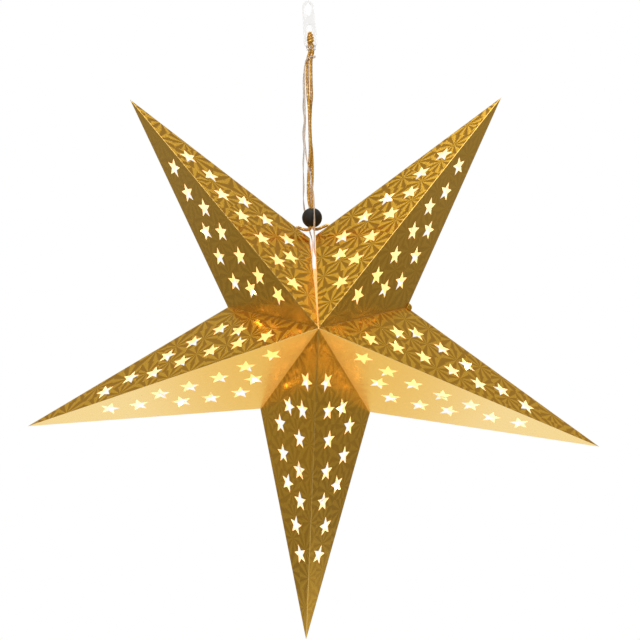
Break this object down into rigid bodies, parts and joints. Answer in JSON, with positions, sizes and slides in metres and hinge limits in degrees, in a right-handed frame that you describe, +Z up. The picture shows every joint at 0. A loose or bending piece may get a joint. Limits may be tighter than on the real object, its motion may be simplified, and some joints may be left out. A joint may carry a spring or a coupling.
{
  "type": "paper star lantern",
  "caption": "Folding paper star lantern of gold foil card with star-shaped cut-outs, lit from inside, hung by a twisted cord with a bead and a clear link.",
  "frame": {"origin": "the bearing point of the hanging eye: the inside top of the clear link's upper eye", "axes": "+Z up along the hanging line, the open star stands in the XZ plane, and its front faces -Y"},
  "size_m": [0.6078, 0.2396, 0.6831],
  "materials": {
    "foil_card": "holographic gold foil outside, plain white inside",
    "gold_cord": "twisted metallic yarn",
    "black_bead": "matt",
    "clear_link": "clear moulded",
    "clear_lead": "clear insulation over copper",
    "warm_lamp": "clear, lit warm white",
    "white_plastic": "satin"
  },
  "bodies": {
    "root": {"point_upper_left": "foil_card", "point_left": "foil_card", "point_bottom": "foil_card", "point_right": "foil_card", "point_upper_right": "foil_card", "hanging_cord": "gold_cord", "cord_bead": "black_bead", "hanging_link": "clear_link", "light_lead": "clear_lead", "light_string": "clear_lead", "lamp_1": "warm_lamp", "lamp_2": "warm_lamp", "lamp_3": "warm_lamp", "lamp_4": "warm_lamp", "lamp_5": "warm_lamp", "lamp_6": "warm_lamp", "lamp_7": "warm_lamp", "lamp_8": "warm_lamp", "lamp_9": "warm_lamp", "lamp_10": "warm_lamp", "battery_pack": "white_plastic"}
  },
  "joints": []
}
